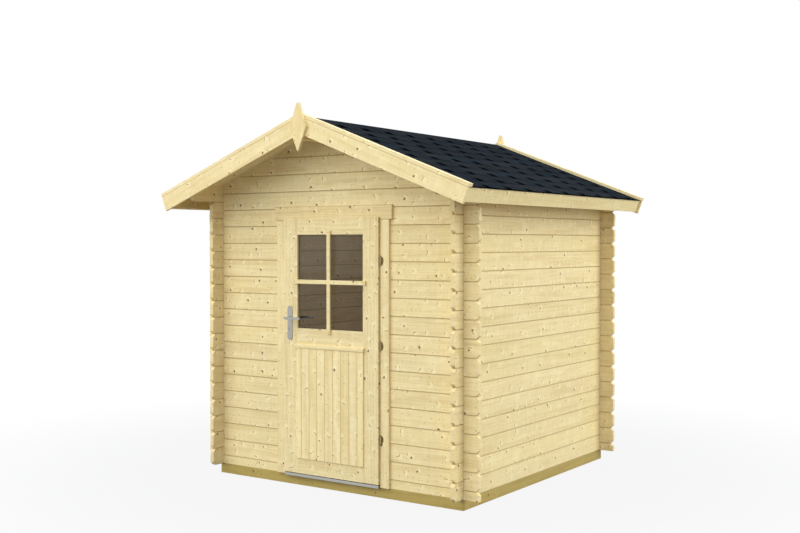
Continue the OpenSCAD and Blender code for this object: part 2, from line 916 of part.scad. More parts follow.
// Plank with a small bevel along both front edges
module plank(width) {
    x0 = butt_gap / 2;
    x1 = width - butt_gap / 2;
    linear_extrude(panel_h - butt_gap)
        polygon([[x0, 0], [x1, 0], [x1, plank_bevel - plank_t], [x1 - plank_bevel, -plank_t],
                 [x0 + plank_bevel, -plank_t], [x0, plank_bevel - plank_t]]);
}

// Rail over the planks, its top sloped to shed water
module door_drip_rail() {
    half = panel_w / 2 + drip_over;
    color(trim_wood)
        along_x(-half, half)
            polygon([[leaf_front, drip_z], [leaf_front - drip_t, drip_z],
                     [leaf_front - drip_t, drip_z + drip_h - drip_fall],
                     [leaf_front, drip_z + drip_h]]);
}

module door_glass() {
    color(pane)
        translate([-window_w / 2 - glass_seat, leaf_front + glass_setback, window_bottom - glass_seat])
            cube([window_w + 2 * glass_seat, glass_t, window_h + 2 * glass_seat]);
}

// Cross of glazing bars on the front of the leaf: one upright, and a bar
// butted to it on each side
module glazing_bars() {
    mid_z = window_bottom + window_h / 2;
    half_x = window_w / 2 + bar_lap;
    half_z = window_h / 2 + bar_lap;
    side_x = bar_w / 2 + butt_gap / 2;
    color(trim_wood)
        translate([0, leaf_front - bar_t, mid_z]) {
            translate([-bar_w / 2, 0, -half_z]) cube([bar_w, bar_t, 2 * half_z]);
            for (x = [-half_x, side_x])
                translate([x, 0, -bar_w / 2]) cube([half_x - side_x, bar_t, bar_w]);
        }
}

// Long plates with round ends on both faces of the leaf
module handle_plates() {
    color(steel)
        for (y = [leaf_front, leaf_back + plate_t])
            translate([lever_x, y, lever_z])
                rotate([90, 0, 0])
                    linear_extrude(plate_t)
                        difference() {
                            for (end = [-1, 1])
                                half_plate(end);
                            circle(r = neck_r + neck_gap, $fn = round_fn);
                            translate([0, -key_drop]) circle(r = key_r, $fn = round_fn);
                            translate([-key_slot_w / 2, -key_drop - key_slot_l])
                                square([key_slot_w, key_slot_l]);
                        }
}

// Half of a plate: a bar from the middle to one round end
module half_plate(end) {
    straight = plate_l / 2 - plate_w / 2;
    translate([0, -lever_up]) {
        translate([-plate_w / 2, end > 0 ? 0 : -straight]) square([plate_w, straight]);
        translate([0, end * straight]) circle(r = plate_w / 2, $fn = round_fn);
    }
}

// Lever on each face, joined by the spindle
module lever_handle() {
    out_y = leaf_front - plate_t - lever_out;
    in_y = leaf_back + plate_t + lever_out;
    color(steel)
        translate([lever_x, 0, lever_z])
            union() {
                translate([0, out_y + lever_t / 2, 0])
                    rotate([-90, 0, 0])
                        cylinder(r = spindle_r, h = in_y - out_y - lever_t, $fn = round_fn);
                translate([0, out_y, 0]) lever_arm();
                translate([0, in_y, 0]) mirror([0, 1, 0]) lever_arm();
            }
}

// Neck and arm of one lever, the arm's outer face at y = 0
module lever_arm() {
    rotate([-90, 0, 0]) cylinder(r = neck_r, h = lever_out + plate_t / 2, $fn = round_fn);
    translate([0, lever_t, 0])
        rotate([90, 0, 0])
            linear_extrude(lever_t) {
                translate([0, -lever_h / 2]) square([lever_l - lever_h / 2, lever_h]);
                circle(r = lever_h / 2, $fn = round_fn);
                translate([lever_l - lever_h / 2, 0]) circle(r = lever_h / 2, $fn = round_fn);
            }
}

front_base_beam();
back_base_beam();
side_base_beams();
floor_joists();
floor_boards();
front_wall_left();
front_wall_right();
front_gable();
back_wall();
back_gable();
left_wall();
right_wall();
left_plate_log();
right_plate_log();
ridge_purlin();
left_roof_boards();
right_roof_boards();
left_shingles();
right_shingles();
ridge_cap();
front_left_bargeboard();
front_right_bargeboard();
back_left_bargeboard();
back_right_bargeboard();
front_cap_strips();
back_cap_strips();
left_fascia();
right_fascia();
front_finial();
back_finial();
door_jambs();
door_frame_head();
door_side_trims();
door_head_trim();
door_threshold();
frame_hinges();
door_stiles();
door_rails();
door_planks();
door_drip_rail();
door_glass();
glazing_bars();
leaf_hinges();
handle_plates();
lever_handle();
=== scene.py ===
"""Looks of the garden house: spruce logs and boards, bitumen shingles, metal fittings and glass.

Metres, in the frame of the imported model: X to the right, Y to the back, Z up. The CAD nodes get
procedural materials. The courses of shingles and the small screws are made here.
"""
import math
import random

import bmesh
import bpy
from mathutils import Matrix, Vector


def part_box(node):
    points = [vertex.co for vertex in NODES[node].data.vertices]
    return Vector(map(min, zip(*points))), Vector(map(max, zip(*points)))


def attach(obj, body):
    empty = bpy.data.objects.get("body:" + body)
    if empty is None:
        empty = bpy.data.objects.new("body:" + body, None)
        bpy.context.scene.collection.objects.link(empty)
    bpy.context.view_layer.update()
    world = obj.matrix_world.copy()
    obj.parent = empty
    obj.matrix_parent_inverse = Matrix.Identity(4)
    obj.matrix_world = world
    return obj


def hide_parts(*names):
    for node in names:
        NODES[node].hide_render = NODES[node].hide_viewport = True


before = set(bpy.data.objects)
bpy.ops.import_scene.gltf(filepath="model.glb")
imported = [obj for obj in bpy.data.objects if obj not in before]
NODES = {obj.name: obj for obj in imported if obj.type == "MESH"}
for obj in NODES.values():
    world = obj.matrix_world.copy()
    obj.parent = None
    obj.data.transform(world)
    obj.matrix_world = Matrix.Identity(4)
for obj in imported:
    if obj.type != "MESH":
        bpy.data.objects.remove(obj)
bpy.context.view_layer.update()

# ---- sizes ----

# Walls: logs cover LOG_H each, and the front courses start half a log lower than the side ones
LOG_H = 0.115
WALL_LOW, WALL_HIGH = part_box("left_wall")
LOG_T = WALL_HIGH.x - WALL_LOW.x
BEAM_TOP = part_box("front_base_beam")[1].z
HALF_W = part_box("front_base_beam")[1].x
HALF_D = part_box("back_base_beam")[1].y

# Floor and roof boards, and the planks of the door's panel
BOARD_W = 0.096
BOARD_T = 0.018
PLANK_W = 0.066

# Roof. Places on a slope are s, down it from the ridge, and n, above the boards' underside
PITCH = math.radians(21.2)
BOARDS_LOW, BOARDS_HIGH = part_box("right_roof_boards")
RIDGE_Z = BOARDS_HIGH.z - BOARD_T / math.cos(PITCH)
RIDGE_ON_SLOPE = RIDGE_Z * math.cos(PITCH)
BARGE_DOWN = 0.05
FRONT_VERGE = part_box("front_cap_strips")[1].y
BACK_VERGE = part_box("back_cap_strips")[0].y

# Shingles: sheets in courses, cut into tabs by notches
SHEET_T = 0.003
SHEET_GAP = 0.0002
COURSE = 0.144
TAB_W = 0.262
TAB_PHASE = -0.020
NOTCH_W = 0.060
NOTCH_H = 0.054
NOTCH_TAPER = 0.002
NOTCH_MARGIN = 0.004
TAB_DROP = 0.0012
UNDERLAP = 0.012
STARTER_IN = 0.002
SHINGLE_LOW, SHINGLE_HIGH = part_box("right_shingles")
FELT_N = BOARD_T + 2 * SHEET_T
DRIP_S = (SHINGLE_HIGH.x - FELT_N * math.sin(PITCH)) / math.cos(PITCH)
COURSES = math.floor(DRIP_S / COURSE - 0.5)
CAP_LOW, CAP_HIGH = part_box("ridge_cap")
CAP_N = (CAP_HIGH.z - RIDGE_Z) * math.cos(PITCH)
CAP_ROOM = 0.0006
FOLD_HALF = 0.010
FOLD_POWER = 1.5

# Door: the pane sits GLASS_SEAT deep in the leaf, and a thin band of painted shade shows round its
# edge
HEAD_LOW, HEAD_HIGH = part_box("door_head_trim")
GLASS_LOW, GLASS_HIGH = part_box("door_glass")
GLASS_SEAT = 0.007
PANE_SHADE_W = 0.002


# ---- short calls for node trees ----

def srgb(red, green, blue):
    """Linear colour with alpha, from 0 to 255 screen values."""
    def linear(value):
        value /= 255
        return value / 12.92 if value <= 0.04045 else ((value + 0.055) / 1.055) ** 2.4
    return (linear(red), linear(green), linear(blue), 1.0)


class Tree:
    """A node tree with one short method for each kind of node used here."""

    def __init__(self, tree):
        self.tree = tree

    def feed(self, socket, value):
        """Links a socket to another one, or sets its value."""
        if isinstance(value, bpy.types.NodeSocket):
            self.tree.links.new(value, socket)
        elif value is not None:
            socket.default_value = value

    def add(self, kind, **settings):
        made = self.tree.nodes.new("ShaderNode" + kind)
        for name, value in settings.items():
            setattr(made, name, value)
        return made

    def math(self, operation, a, b=None, c=None):
        made = self.add("Math", operation=operation)
        for socket, value in zip(made.inputs, (a, b, c)):
            self.feed(socket, value)
        return made.outputs[0]

    def sum(self, first, *others):
        for other in others:
            first = self.math("ADD", first, other)
        return first

    def between(self, value, low, high):
        """low where value is 0, high where it is 1, and so on in a straight line."""
        return self.math("MULTIPLY_ADD", value, high - low, low)

    def step(self, value, low, high, to_low=0.0, to_high=1.0):
        """Smooth step of value from low to high."""
        made = self.add("MapRange", interpolation_type="SMOOTHSTEP")
        for name, given in (("Value", value), ("From Min", low), ("From Max", high),
                            ("To Min", to_low), ("To Max", to_high)):
            self.feed(made.inputs[name], given)
        return made.outputs[0]

    def vector(self, operation, a, b=None):
        made = self.add("VectorMath", operation=operation)
        self.feed(made.inputs[0], a)
        self.feed(made.inputs[1], b)
        return made.outputs["Value" if operation == "LENGTH" else "Vector"]

    def split(self, vector):
        made = self.add("SeparateXYZ")
        self.feed(made.inputs[0], vector)
        return made.outputs

    def join(self, x=0.0, y=0.0, z=0.0):
        made = self.add("CombineXYZ")
        for socket, value in zip(made.inputs, (x, y, z)):
            self.feed(socket, value)
        return made.outputs[0]

    def length(self, x, y):
        return self.vector("LENGTH", self.join(x, y))

    def mix(self, factor, a, b):
        """Mix of two colours."""
        made = self.add("Mix", data_type="RGBA", blend_type="MIX")
        self.feed(made.inputs[0], factor)
        self.feed(made.inputs[6], a)
        self.feed(made.inputs[7], b)
        return made.outputs[2]

    def tint(self, color, tone, blue=None):
        """A colour times a tone, which blue replaces in its third channel."""
        return self.vector("MULTIPLY", color, self.join(tone, tone, tone if blue is None else blue))

    def noise(self, vector, scale=1.0, detail=2.0, roughness=0.5):
        made = self.add("TexNoise")
        self.feed(made.inputs["Vector"], vector)
        for name, value in (("Scale", scale), ("Detail", detail), ("Roughness", roughness)):
            self.feed(made.inputs[name], value)
        return made.outputs[0]

    def random(self, value):
        """Three random numbers from one number."""
        made = self.add("TexWhiteNoise", noise_dimensions="1D")
        self.feed(made.inputs["W"], value)
        return self.split(made.outputs["Color"])

    def object_place(self):
        return self.add("TexCoord").outputs["Object"]

    def bump(self, height, distance, strength, edge=0.0):
        """Normal from a height, over edges that are softened by a small radius."""
        made = self.add("Bump")
        made.inputs["Strength"].default_value = strength
        made.inputs["Distance"].default_value = distance
        self.feed(made.inputs["Height"], height)
        if edge:
            soft = self.add("Bevel", samples=4)
            soft.inputs["Radius"].default_value = edge
            self.feed(made.inputs["Normal"], soft.outputs[0])
        return made.outputs[0]

    def surface(self, color, roughness, normal=None, **constants):
        """Principled shader. The constants are set on its own sockets."""
        made = self.add("BsdfPrincipled")
        self.feed(made.inputs["Base Color"], color)
        self.feed(made.inputs["Roughness"], roughness)
        self.feed(made.inputs["Normal"], normal)
        for name, value in constants.items():
            made.inputs[name.replace("_", " ")].default_value = value
        return made.outputs[0]

    def plain(self, kind, color):
        """Shader that has a colour and nothing else to set."""
        made = self.add(kind)
        self.feed(made.inputs["Color"], color)
        return made.outputs[0]

    def blend(self, factor, a, b):
        """Mix of two shaders."""
        made = self.add("MixShader")
        for socket, value in zip(made.inputs, (factor, a, b)):
            self.feed(socket, value)
        return made.outputs[0]

    def seen(self):
        """1 for what the camera, mirrors and glass see, and 0 for light."""
        ray = self.add("LightPath").outputs
        return self.math("MAXIMUM", ray["Is Camera Ray"],
                         self.math("MAXIMUM", ray["Is Glossy Ray"], ray["Is Transmission Ray"]))

    def output(self, shader, kind="OutputMaterial"):
        self.feed(self.add(kind).inputs[0], shader)


def new_material(name):
    material = bpy.data.materials.new(name)
    material.use_nodes = True
    material.node_tree.nodes.clear()
    return material, Tree(material.node_tree)


def dress(material, *names):
    """Puts a material on CAD nodes or on new pieces."""
    for name in names:
        piece = NODES[name] if isinstance(name, str) else name
        piece.data.materials.clear()
        piece.data.materials.append(material)


# ---- spruce ----

EARLY_WOOD = srgb(245, 224, 166)
LATE_WOOD = srgb(223, 195, 130)
PALER = (1.09, 1.14, 1.28)
KNOT_RIM = srgb(184, 138, 70)
KNOT_RED = srgb(152, 72, 14)
KNOT_HEART = srgb(90, 27, 0)
TICK = srgb(184, 148, 84)
END_SHADE = (0.86, 0.82, 0.72)
JOINT_SHADE = (0.56, 0.48, 0.36)
# The painted shade of a joint is full up to the first distance from it and ends at the second
JOINT_HALF = (0.0022, 0.0056)
# Radius that softens edges
EDGE_R = 0.0012
# A face looks along an axis if its normal's part along it is past the second of these
FACING = (0.55, 0.8)

# Oval marks in the wood. There is at most one in a cell of this size along and across the
# board, and share times knots of the cells have one. lengths and width are half the mark's
# own, spread is how far the marks turn and curl how much they bend. shift moves the cells
# along the board, so that marks of different kinds have cells of their own.
KNOTS = {"cell": (0.23, 0.118), "share": 0.9, "lengths": (0.0028, 0.0084), "width": 0.0052,
         "spread": 2.4, "curl": 30.0, "shift": 0.0}
STROKES = {"cell": (0.15, 0.105), "share": 1.25, "lengths": (0.007, 0.020), "width": 0.0027,
           "spread": 5.0, "curl": 34.0, "shift": 3.7}
TICKS = {"cell": (0.052, 0.041), "share": 0.9, "lengths": (0.0022, 0.0056), "width": 0.0020,
         "spread": 4.0, "curl": 40.0, "shift": 8.1}

# Small knots are red and larger ones dark, between these sizes from 0 to 1
KNOT_SIZES = (0.1, 0.75)
# How far marks lie from the middles of their cells, and how uneven their outlines are
MARK_RANDOMNESS = 0.8
MARK_WOBBLE = 0.3

# Where a mark starts and where it is full, in units of its size from its middle
KNOT_EDGE = (1.25, 0.7)
RIM_EDGE = (2.6, 1.0)
BEND_EDGE = (6.0, 0.4)
STROKE_EDGE = (1.3, 0.5)
TICK_EDGE = (1.3, 0.6)

# Pale wood beside a mark: where its middle lies, where it starts and where it is full
PALE_BY_KNOT = ((0.011, 0.007), (0.022, 0.006))
PALE_BY_STROKE = ((0.012, -0.005), (0.026, 0.008))

# Growth rings: distance between them, how the late wood rises and falls over a ring, and
# where the pith lies from the middle of the board
RING_SPACING = (0.0030, 0.0052)
RING_RISE = (0.30, 0.90)
RING_FALL = (1.0, 0.93)
RING_RIPPLE = 0.006
RING_BEND = 0.85
PITH_ACROSS = 0.055
PITH_WANDER = 0.035
WANDER_NOISE = (0.9, 1.0)
PITH_BEHIND = (0.018, 0.088)

# Noise patterns: waves a metre along the grain, waves across it, and detail
PATTERNS = {"wobble": (180.0, 180.0, 2.0), "ripple": (2.4, 14.0, 2.0),
            "broad": (1.6, 24.0, 3.0), "cloud": (7.0, 15.0, 2.0),
            "fibre": (26.0, 900.0, 2.0), "curl": (34.0, 7.0, 2.0),
            "speck": (130.0, 130.0, 2.0), "streak": (3.0, 125.0, 2.0)}
TONE_SHARES = {"fibre": 0.06, "curl": 0.14, "speck": 0.12, "streak": 0.17}

# How far each thing changes the colour
RING_SHARE = 0.34
BROAD_STEP = (0.44, 0.74, 0.0, 0.50)
CLOUD_STEP = (0.52, 0.72, 0.0, 0.42)
PALE_SHARE = 0.65
RIM_SHARE = 0.36
END_SHARE = 0.12
# Boards differ this much in tone, and in the warmth of it
TONE_SPREAD = (0.975, 1.025)
# How far along and across the patterns a board may lie
BOARD_SHIFT = (41.0, 17.0)
# Index of refraction, roughness of early and late wood, shares in the height, and the
# bump's distance and strength
WOOD_IOR = 1.45
WOOD_ROUGHNESS = (0.66, 0.58)
FIBRE_HEIGHT = 0.35
RING_HEIGHT = 0.35
KNOT_HEIGHT = 0.5
WOOD_BUMP = (0.0004, 0.5)


def scatter(tree, x, y, knots, cell, share, lengths, width, spread, curl, shift):
    """Oval marks of one kind. The values from cell on are explained above.

    Gives the distance from the nearest mark in units of its own size, whether there is one,
    the offset from its middle along and across the board, and a random number of the mark.
    """
    if shift:
        x = tree.math("ADD", x, shift)
    cells = tree.add("TexVoronoi", voronoi_dimensions="2D", feature="F1")
    tree.feed(cells.inputs["Vector"], tree.join(tree.math("DIVIDE", x, cell[0]),
                                                tree.math("DIVIDE", y, cell[1])))
    cells.inputs["Scale"].default_value = 1.0
    cells.inputs["Randomness"].default_value = MARK_RANDOMNESS
    size, draw, kind = tree.split(cells.outputs["Color"])
    spot_x, spot_y, _ = tree.split(cells.outputs["Position"])
    off_x = tree.math("SUBTRACT", x, tree.math("MULTIPLY", spot_x, cell[0]))
    off_y = tree.math("SUBTRACT", y, tree.math("MULTIPLY", spot_y, cell[1]))
    there = tree.math("LESS_THAN", draw, tree.math("MULTIPLY", knots, share))
    turn = tree.math("MULTIPLY", tree.math("SUBTRACT", kind, 0.5), spread)
    cos, sin = tree.math("COSINE", turn), tree.math("SINE", turn)
    u = tree.math("MULTIPLY_ADD", off_x, cos, tree.math("MULTIPLY", off_y, sin))
    v = tree.math("MULTIPLY_ADD", off_y, cos,
                  tree.math("MULTIPLY", off_x, tree.math("MULTIPLY", sin, -1.0)))
    v = tree.math("ADD", v, tree.math("MULTIPLY", tree.math("MULTIPLY", u, u),
                                      tree.between(size, -curl, curl)))
    near = tree.length(tree.math("DIVIDE", u, tree.between(size, *lengths)),
                       tree.math("DIVIDE", v, width))
    return near, there, off_x, off_y, size


def spruce_group():
    """Colour, roughness and height of a spruce board, from its own coordinates.

    Board is in metres: X along the grain, Y across the face, Z through the board.
    """
    group = bpy.data.node_groups.new("spruce", "ShaderNodeTree")
    for name, kind in (("Board", "Vector"), ("Seed", "Float"), ("End", "Float"),
                       ("Joint", "Float"), ("Knots", "Float"), ("Early", "Color"),
                       ("Late", "Color")):
        group.interface.new_socket(name, in_out="INPUT", socket_type="NodeSocket" + kind)
    for name, kind in (("Color", "Color"), ("Roughness", "Float"), ("Height", "Float")):
        group.interface.new_socket(name, in_out="OUTPUT", socket_type="NodeSocket" + kind)
    tree = Tree(group)
    given = group.nodes.new("NodeGroupInput").outputs
    early, late = given["Early"], given["Late"]

    r1, r2, r3 = tree.random(given["Seed"])
    x, y, z = tree.split(given["Board"])
    x = tree.math("MULTIPLY_ADD", r1, BOARD_SHIFT[0], x)
    y_far = tree.math("MULTIPLY_ADD", r2, BOARD_SHIFT[1], y)
    spot = tree.join(x, y_far, z)

    def pattern(name):
        along, across, detail = PATTERNS[name]
        return tree.noise(tree.vector("MULTIPLY", spot, (along, across, across)), 1.0, detail)

    def mask(value, edge, there):
        return tree.math("MULTIPLY", tree.step(value, *edge), there)

    def beside(off_x, off_y, place, edge, there):
        away = tree.length(tree.math("SUBTRACT", off_x, place[0]),
                           tree.math("SUBTRACT", off_y, place[1]))
        return mask(away, edge, there)

    # Knots, short curled strokes of pitch and bark, and fine ticks
    wobble = tree.between(pattern("wobble"), -MARK_WOBBLE, MARK_WOBBLE)
    knot_near, knot_there, off_x, off_y, knot_size = scatter(
        tree, x, y_far, given["Knots"], **KNOTS)
    knot_near = tree.math("ADD", knot_near, wobble)
    knot = mask(knot_near, KNOT_EDGE, knot_there)
    rim = mask(knot_near, RIM_EDGE, knot_there)
    stroke_near, stroke_there, stroke_x, stroke_y, bark = scatter(
        tree, x, y_far, given["Knots"], **STROKES)
    stroke = mask(tree.math("ADD", stroke_near, wobble), STROKE_EDGE, stroke_there)
    tick_near, tick_there, _, _, _ = scatter(tree, x, y_far, given["Knots"], **TICKS)
    tick = mask(tick_near, TICK_EDGE, tick_there)
    pale = tree.math("MAXIMUM", beside(off_x, off_y, *PALE_BY_KNOT, knot_there),
                     beside(stroke_x, stroke_y, *PALE_BY_STROKE, stroke_there))

    # Growth rings round a pith that lies behind the board and wanders along it. They bend
    # round the knots.
    bend = tree.math("MULTIPLY", mask(knot_near, BEND_EDGE, knot_there), RING_BEND)
    y_bent = tree.math("SUBTRACT", y, tree.math("MULTIPLY", off_y, bend))
    wander = tree.noise(tree.join(x, r2, r3), *WANDER_NOISE)
    pith_y = tree.math("ADD", tree.between(r1, -PITH_ACROSS, PITH_ACROSS),
                       tree.between(wander, -PITH_WANDER, PITH_WANDER))
    pith_z = tree.between(r2, *PITH_BEHIND)
    ring_r = tree.length(tree.math("SUBTRACT", y_bent, pith_y), tree.math("SUBTRACT", z, pith_z))
    ripple = tree.math("SUBTRACT", pattern("ripple"), 0.5)
    ring_r = tree.math("MULTIPLY_ADD", ripple, RING_RIPPLE, ring_r)
    phase = tree.math("FRACT", tree.math("DIVIDE", ring_r, tree.between(r3, *RING_SPACING)))
    ring = tree.math("MULTIPLY", tree.step(phase, *RING_RISE), tree.step(phase, *RING_FALL))

    # Tone: fine fibres, the soft ripples that cross the grain, specks and streaks
    tones = {name: pattern(name) for name in TONE_SHARES}
    tone = tree.between(r3, *TONE_SPREAD)
    for name, share in TONE_SHARES.items():
        tone = tree.math("ADD", tone, tree.between(tones[name], -share / 2, share / 2))

    color = tree.mix(tree.math("MULTIPLY", ring, RING_SHARE), early, late)
    color = tree.mix(tree.step(pattern("broad"), *BROAD_STEP), color, late)
    light = tree.math("MAXIMUM", tree.step(pattern("cloud"), *CLOUD_STEP),
                      tree.math("MULTIPLY", pale, PALE_SHARE))
    color = tree.mix(light, color, tree.vector("MULTIPLY", early, PALER))
    color = tree.tint(color, tone, tree.math("MULTIPLY", tone, tree.between(r1, *TONE_SPREAD)))
    color = tree.mix(tick, color, TICK)
    color = tree.mix(tree.math("MULTIPLY", rim, RIM_SHARE), color, KNOT_RIM)
    color = tree.mix(stroke, color, tree.mix(bark, TICK, KNOT_RIM))
    color = tree.mix(knot, color,
                     tree.mix(tree.step(knot_size, *KNOT_SIZES), KNOT_RED, KNOT_HEART))
    # End grain drinks the light, and the joints between boards get painted shade
    color = tree.mix(tree.math("MULTIPLY", given["End"], END_SHARE), color,
                     tree.vector("MULTIPLY", color, END_SHADE))
    color = tree.mix(given["Joint"], color, tree.vector("MULTIPLY", color, JOINT_SHADE))

    out = group.nodes.new("NodeGroupOutput").inputs
    tree.feed(out["Color"], color)
    tree.feed(out["Roughness"], tree.between(ring, *WOOD_ROUGHNESS))
    tree.feed(out["Height"], tree.sum(tree.math("MULTIPLY", tones["fibre"], FIBRE_HEIGHT),
                                      tree.math("MULTIPLY", ring, RING_HEIGHT),
                                      tree.math("MULTIPLY", knot, KNOT_HEIGHT)))
    return group


SPRUCE = spruce_group()


def wood(name, axes, rows, seed, tilt=0.0, knots=0.5, center=0.0, joint=0.0, seams=(),
         early=EARLY_WOOD, late=LATE_WOOD):
    """Material of boards laid side by side.

    axes names the object's axes along, across and through the boards. rows says where the
    first board starts and how far it is to the next, across them. center is the middle of
    their thickness. tilt turns the axes about Y, for boards on a slope. knots is how many
    marks they have, from 0 to 1. joint is how dark the painted shade on the lines between
    boards is, and seams lists more lines of painted shade as (axis, place, darkness).
    """
    material, tree = new_material(name)
    source = tree.add("TexCoord").outputs
    place, facing = source["Object"], source["Normal"]
    if tilt:
        tilted = [tree.add("Mapping", vector_type=kind) for kind in ("POINT", "NORMAL")]
        for made, vector in zip(tilted, (place, facing)):
            made.inputs["Rotation"].default_value = (0.0, tilt, 0.0)
            tree.feed(made.inputs["Vector"], vector)
        place, facing = (made.outputs[0] for made in tilted)
    order = ["xyz".index(axis) for axis in axes]
    parts = tree.split(place)
    along, across, through = (parts[axis] for axis in order)

    def faces(axis):
        """1 on faces that look along an axis, and 0 on the others."""
        return tree.step(tree.math("ABSOLUTE", tree.split(facing)[axis]), *FACING)

    def line(distance, dark):
        """Painted shade of a joint or seam at a distance from it."""
        return tree.step(distance, JOINT_HALF[1], JOINT_HALF[0], 0.0, dark)

    start, pitch = rows
    turns = tree.math("DIVIDE", tree.math("SUBTRACT", across, start), pitch)
    middle = tree.math("MULTIPLY", tree.math("SUBTRACT", tree.math("FRACT", turns), 0.5), pitch)
    deep = tree.math("SUBTRACT", through, center)
    # On the boards' edges the pattern across the face runs through the board
    swap = tree.math("MULTIPLY", faces(order[1]), tree.math("SUBTRACT", deep, middle))
    board = tree.join(along, tree.math("ADD", middle, swap), tree.math("SUBTRACT", deep, swap))
    end = faces(order[0])
    shade = line(tree.math("SUBTRACT", pitch / 2, tree.math("ABSOLUTE", middle)), joint)
    for axis, at, dark in seams:
        away = tree.math("ABSOLUTE", tree.math("SUBTRACT", parts["xyz".index(axis)], at))
        shade = tree.math("MAXIMUM", shade, line(away, dark))
    grain = tree.add("Group", node_tree=SPRUCE)
    for socket, value in (
            ("Board", board), ("Seed", tree.math("ADD", tree.math("FLOOR", turns), seed)),
            ("End", end), ("Joint", shade),
            ("Knots", tree.math("MULTIPLY", tree.math("SUBTRACT", 1.0, end), knots)),
            ("Early", early), ("Late", late)):
        tree.feed(grain.inputs[socket], value)
    normal = tree.bump(grain.outputs["Height"], *WOOD_BUMP, EDGE_R)
    tree.output(tree.surface(grain.outputs["Color"], grain.outputs["Roughness"], normal,
                             IOR=WOOD_IOR))
    return material


# Rows for single boards. They are wider than a board, so that no joint shows on it
ABOUT_MIDDLE = (-0.5, 1.0)
FROM_MIDDLE = (0.0, 1.0)
WIDE = 3.0
RAILS = (0.6, 0.5)

# Walls: logs along X in the front and back walls, along Y in the side walls
FRONT_LOGS = (BEAM_TOP - LOG_H / 2, LOG_H)
SIDE_LOGS = (BEAM_TOP, LOG_H)
# The gable is a paler, cooler copy of the spruce, painted light into the shade under the roof's
# overhang
GABLE_EARLY = srgb(248, 229, 174)
GABLE_LATE = srgb(226, 200, 137)
for name, seed, early, late in (("front_wall_left", 11.3, EARLY_WOOD, LATE_WOOD),
                                ("front_wall_right", 51.3, EARLY_WOOD, LATE_WOOD),
                                ("front_gable", 91.3, GABLE_EARLY, GABLE_LATE)):
    dress(wood(name, "xzy", FRONT_LOGS, seed, knots=0.62, center=-HALF_D + LOG_T / 2, joint=0.66,
               early=early, late=late), name)
for name in ("back_wall", "back_gable"):
    dress(wood(name, "xzy", FRONT_LOGS, 171.3, center=HALF_D - LOG_T / 2, joint=0.6), name)
for side, name, seed in ((-1, "left", 211.7), (1, "right", 251.7)):
    dress(wood(name + "_logs", "yzx", SIDE_LOGS, seed, center=side * (HALF_W - LOG_T / 2),
               joint=0.62), name + "_wall", name + "_plate_log")
dress(wood("purlin", "yxz", ABOUT_MIDDLE, 291.1), "ridge_purlin")

# Base and floor
TREATED_EARLY = srgb(184, 160, 86)
TREATED_LATE = srgb(156, 132, 62)
for name, axes, seed in (("front_base_beam", "xzy", 315), ("back_base_beam", "xzy", 314),
                         ("side_base_beams", "yzx", 315), ("floor_joists", "yxz", 312)):
    dress(wood(name, axes, ABOUT_MIDDLE, seed, knots=0.3, early=TREATED_EARLY,
               late=TREATED_LATE), name)
dress(wood("floor", "xyz", (-HALF_D, BOARD_W), 331, joint=0.8), "floor_boards")

# Roof timber: boards, bargeboards and fascias lie along the slope
# Bargeboards are a paler copy of the spruce, painted light, with painted shade along the joint with
# their cap strips
BARGE_EARLY = srgb(250, 228, 169)
BARGE_LATE = srgb(229, 199, 133)
BARGE_ROW = (RIDGE_ON_SLOPE - BARGE_DOWN - WIDE / 2, WIDE)
BARGE_SHADE_LINES = [("z", RIDGE_ON_SLOPE + FELT_N, 0.75)]
for side, name in ((1, "right"), (-1, "left")):
    tilt = -side * PITCH
    dress(wood(name + "_roof_boards", "xyz", (BOARDS_LOW.y, BOARD_W), 351 + 40 * side, tilt=tilt,
               joint=0.8), name + "_roof_boards")
    for end, seed in (("front", 430), ("back", 429)):
        board = f"{end}_{name}_bargeboard"
        low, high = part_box(board)
        dress(wood(board, "xzy", BARGE_ROW, seed + 12 * side, tilt=tilt,
                   center=(low.y + high.y) / 2, seams=BARGE_SHADE_LINES, early=BARGE_EARLY,
                   late=BARGE_LATE), board)
    dress(wood(name + "_fascia", "yzx", ABOUT_MIDDLE, 441 + 9 * side, tilt=tilt, knots=0.45),
          name + "_fascia")
dress(wood("cap_strips", "xyz", (0.0, WIDE), 460, knots=0.2),
      "front_cap_strips", "back_cap_strips")
dress(wood("finials", "zxy", ABOUT_MIDDLE, 472, knots=0.6, early=srgb(244, 221, 160),
           late=srgb(224, 192, 124)), "front_finial", "back_finial")

# Door frame and leaf
# Painted shade along the foot of the head trim, on it and on the side trims under it
HEAD_FOOT_SHADE = ("z", HEAD_LOW.z, 0.6)
for name, axes, seed, knots in (
        ("door_jambs", "zxy", 501, 0.3), ("door_frame_head", "xzy", 511, 0.3),
        ("door_stiles", "zxy", 541, 0.8), ("door_drip_rail", "xzy", 561, 0.1),
        ("glazing_bars", "xzy", 571, 0.05)):
    dress(wood(name, axes, FROM_MIDDLE, seed, knots=knots), name)
dress(wood("door_side_trims", "zxy", FROM_MIDDLE, 521, knots=0.65, seams=[HEAD_FOOT_SHADE]),
      "door_side_trims")
# The head trim is a darker copy of the spruce, painted shade under the roof's overhang, with
# painted shade along its foot and its top
dress(wood("door_head_trim", "xzy", FROM_MIDDLE, 531, knots=0.6,
           seams=[HEAD_FOOT_SHADE, ("z", HEAD_HIGH.z, 0.5)],
           early=srgb(238, 216, 158), late=srgb(216, 187, 124)), "door_head_trim")
dress(wood("door_rails", "xzy", RAILS, 581, knots=0.6), "door_rails")
# The planks are a paler copy of the spruce, painted light, with painted shade in their grooves
dress(wood("door_planks", "zxy", (-PLANK_W / 2, PLANK_W), 601, joint=0.30,
           early=srgb(250, 228, 168), late=srgb(229, 199, 132)), "door_planks")


# ---- shingles ----

FELT_COOL = srgb(34, 41, 47)
FELT_WARM = srgb(43, 45, 44)
